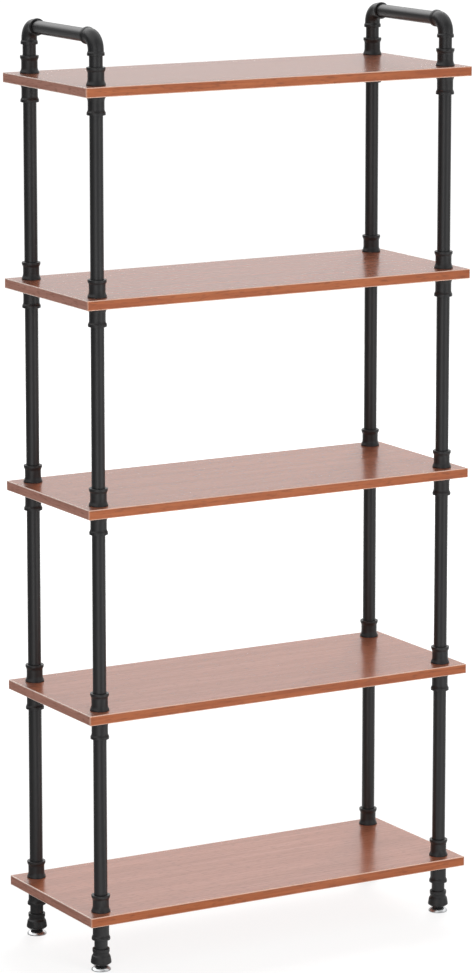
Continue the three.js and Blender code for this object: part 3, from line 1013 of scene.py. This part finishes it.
# %% [markdown]
# ## Legs
# Under the lowest board a short nipple carries a bell. It is a casting that starts with a
# rim like the elbow's, narrows to a waist, steps out to a shoulder and swells slowly to a
# band before it closes to a flat underside. Its floor holds the levelling stud.

# %% Leg nipples and bells
LEG_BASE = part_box("front_left_leg")[0].z
BELL_HEIGHT = 30.2
BELL_FLOOR = 12.0
BELL_SOCKET_DEPTH = 12.0
BELL_BOTTOM_RADIUS = 14.2
BELL_RADIUS = half_width("front_left_leg")
BELL_BAND = (3.2, 5.4)
BELL_SHOULDER_RADIUS = 17.2
BELL_SHOULDER_HEIGHT = 15.7
BELL_WAIST_RADIUS = 14.8
BELL_WAIST = (19.0, 22.6)
BELL_RIM_RADIUS = 15.7
BELL_RIM_LOW = 24.0
STUD_HOLE = 4.3


def bell(corner):
    """Turned once round the post: out along the underside, up over the band, the shoulder,
    the waist and the rim, and down inside to the floor and its hole."""
    x, y = POSTS[corner]
    outline = [
        (STUD_HOLE, 0, 0.3),
        (BELL_BOTTOM_RADIUS, 0, 0.5),
        (BELL_RADIUS, BELL_BAND[0], 0.8),
        (BELL_RADIUS, BELL_BAND[1], 1.2),
        (BELL_SHOULDER_RADIUS, BELL_SHOULDER_HEIGHT, 1.4),
        (BELL_WAIST_RADIUS, BELL_WAIST[0], 1.4),
        (BELL_WAIST_RADIUS, BELL_WAIST[1], 0.8),
        (BELL_RIM_RADIUS, BELL_RIM_LOW, 0.8),
        (BELL_RIM_RADIUS, BELL_HEIGHT, 1.0),
        (PIPE_SOCKET, BELL_HEIGHT, 0.4),
        (PIPE_SOCKET, BELL_HEIGHT - BELL_SOCKET_DEPTH, 0.3),
        (PIPE_BORE, BELL_HEIGHT - BELL_SOCKET_DEPTH, 0.3),
        (PIPE_BORE, BELL_FLOOR, 0.3),
        (STUD_HOLE, BELL_FLOOR, 0.3),
    ]
    piece = turned(f"{corner}_bell", outline, (x, y, LEG_BASE), casting_coat)
    fit(piece, "shelving", f"{corner}_leg")


for corner in CORNERS:
    bell(corner)
    x, y = POSTS[corner]
    bottom = BELL_HEIGHT - BELL_SOCKET_DEPTH + FIT_GAP
    top = (BOARD_UNDERSIDES[0] - LEG_BASE) / MM - LOWER_HEIGHT + SEAT_IN_LOWER
    piece = turned(f"{corner}_leg_nipple", tube_outline(bottom, top), (x, y, LEG_BASE), pipe_coat)
    fit(piece, "shelving", f"{corner}_leg")
print("bells", len(CORNERS))

# %% [markdown]
# ## Levelling feet
# A stud with a real screw thread turns in the bell's floor. Its hexagon collar takes the
# spanner, and its head is caught under the roof of the pad. The thread is one surface of
# two parameters: the radius at angle a and height z follows a triangle wave in z minus
# pitch times a over a full turn, which is what makes it climb.

# %% Studs
STUD_RADIUS = 4.0
THREAD_PITCH = 1.25
THREAD_DEPTH = 0.7
STEPS_IN_PITCH = 8
TIP_CHAMFER = 1.0
HEAD = [(0.0, 1.0), (5.6, 1.0), (6.2, 1.5), (6.2, 2.6), (5.8, 3.0), (STUD_RADIUS, 3.0)]
COLLAR_CORNERS = half_width("front_left_foot_stud")
COLLAR_FLATS = COLLAR_CORNERS * math.cos(math.pi / 6)
COLLAR_CHAMFER = 0.8
STUD_SIDES = 48
FOOT_HEIGHT = LEG_BASE / MM
PAD_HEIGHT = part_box("front_left_foot_pad")[1].z / MM
SAME_PLACE = 0.001 * MM


def stud_profile():
    """(radius, height, is collar, is thread) along the stud, from the head to the tip."""
    low, high = PAD_HEIGHT + FIT_GAP, FOOT_HEIGHT - FIT_GAP
    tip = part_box("front_left_foot_stud")[1].z / MM
    plain = HEAD + [(STUD_RADIUS, low)]
    broken_corners = COLLAR_CORNERS - COLLAR_CHAMFER
    collar = [(broken_corners, low), (COLLAR_CORNERS, low + COLLAR_CHAMFER),
              (COLLAR_CORNERS, high - COLLAR_CHAMFER), (broken_corners, high)]
    steps = int((tip - high) / THREAD_PITCH * STEPS_IN_PITCH)
    thread = [(STUD_RADIUS, z) for z in np.linspace(high, tip - TIP_CHAMFER, steps)]
    end = [(STUD_RADIUS - TIP_CHAMFER, tip), (0.0, tip)]
    rows = ([(r, z, 0, 0) for r, z in plain] + [(r, z, 1, 0) for r, z in collar]
            + [(r, z, 0, 1) for r, z in thread] + [(r, z, 0, 0) for r, z in end])
    return np.array(rows)


def close_poles(piece):
    """Merges the points of a ring of no radius into one, so that the surface closes there."""
    shape = bmesh.new()
    shape.from_mesh(piece.data)
    bmesh.ops.remove_doubles(shape, verts=shape.verts, dist=SAME_PLACE)
    shape.to_mesh(piece.data)
    shape.free()


def levelling_stud(corner):
    """Radius by angle a and height z. On the collar it is F / cos b, where b is the angle to
    the middle of the nearest flat. On the thread it is R - D |2w - 1|, where w is what
    z / pitch - a / (2 pi) has past its last whole number."""
    x, y = POSTS[corner]
    radius, height, collar, thread = stud_profile().T
    around = ring_angles(STUD_SIDES)[:, None]
    to_flat = np.abs((around + math.pi / 6) % (math.pi / 3) - math.pi / 6)
    hexagon = np.minimum(radius, COLLAR_FLATS / np.cos(to_flat))
    wave = (height / THREAD_PITCH - around / (2 * math.pi)) % 1.0
    groove = THREAD_DEPTH * np.abs(2 * wave - 1)
    round_part = radius - groove * thread
    r = np.where(collar > 0, hexagon, round_part) * MM
    grid = np.stack([x + r * np.cos(around), y + r * np.sin(around),
                     np.broadcast_to(height * MM, r.shape)], axis=-1)
    quads = grid_faces(STUD_SIDES, len(height))
    step = quads % len(height)
    # The outline starts and ends on the axis, so the faces from its end to its start go.
    quads = quads[step.max(axis=1) - step.min(axis=1) == 1]
    piece = piece_from_quads(f"{corner}_levelling_stud", grid.reshape(-1, 3), quads, pipe_coat)
    close_poles(piece)
    fit(piece, f"{corner}_stud", f"{corner}_foot_stud")


for corner in CORNERS:
    levelling_stud(corner)
print("stud thread", THREAD_PITCH, "mm pitch")

# %% Pads
HEAD_RECESS = 6.8
HEAD_RECESS_HEIGHT = 3.5
PAD_RADIUS = half_width("front_left_foot_pad")
PAD_SOLE_RADIUS = PAD_RADIUS - 0.8
PAD_EDGE = (0.9, 1.9)
PAD_SHOULDER_RADIUS = PAD_RADIUS - 2.4
PAD_SHOULDER_HEIGHT = 5.2
PAD_TOP_RADIUS = 10.5
PAD_TOP_CHAMFER = (0.7, 0.3)


def foot_pad(corner):
    """Turned once round the post: the sole, the low edge, the cone up to the collar, and the
    recess that holds the stud's head."""
    x, y = POSTS[corner]
    outline = [
        (HEAD_RECESS, 0, 0.3),
        (PAD_SOLE_RADIUS, 0, 0.4),
        (PAD_RADIUS, PAD_EDGE[0], 0.5),
        (PAD_RADIUS, PAD_EDGE[1], 0.6),
        (PAD_SHOULDER_RADIUS, PAD_SHOULDER_HEIGHT, 2.5),
        (PAD_TOP_RADIUS + PAD_TOP_CHAMFER[0], PAD_HEIGHT - PAD_TOP_CHAMFER[1], 0.6),
        (PAD_TOP_RADIUS, PAD_HEIGHT, 0.3),
        (STUD_HOLE, PAD_HEIGHT, 0.3),
        (STUD_HOLE, HEAD_RECESS_HEIGHT, 0.3),
        (HEAD_RECESS, HEAD_RECESS_HEIGHT, 0.3),
    ]
    piece = turned(f"{corner}_levelling_pad", outline, (x, y, 0.0), zinc)
    fit(piece, f"{corner}_pad", f"{corner}_foot_pad")


for corner in CORNERS:
    foot_pad(corner)
print("pads", len(CORNERS))
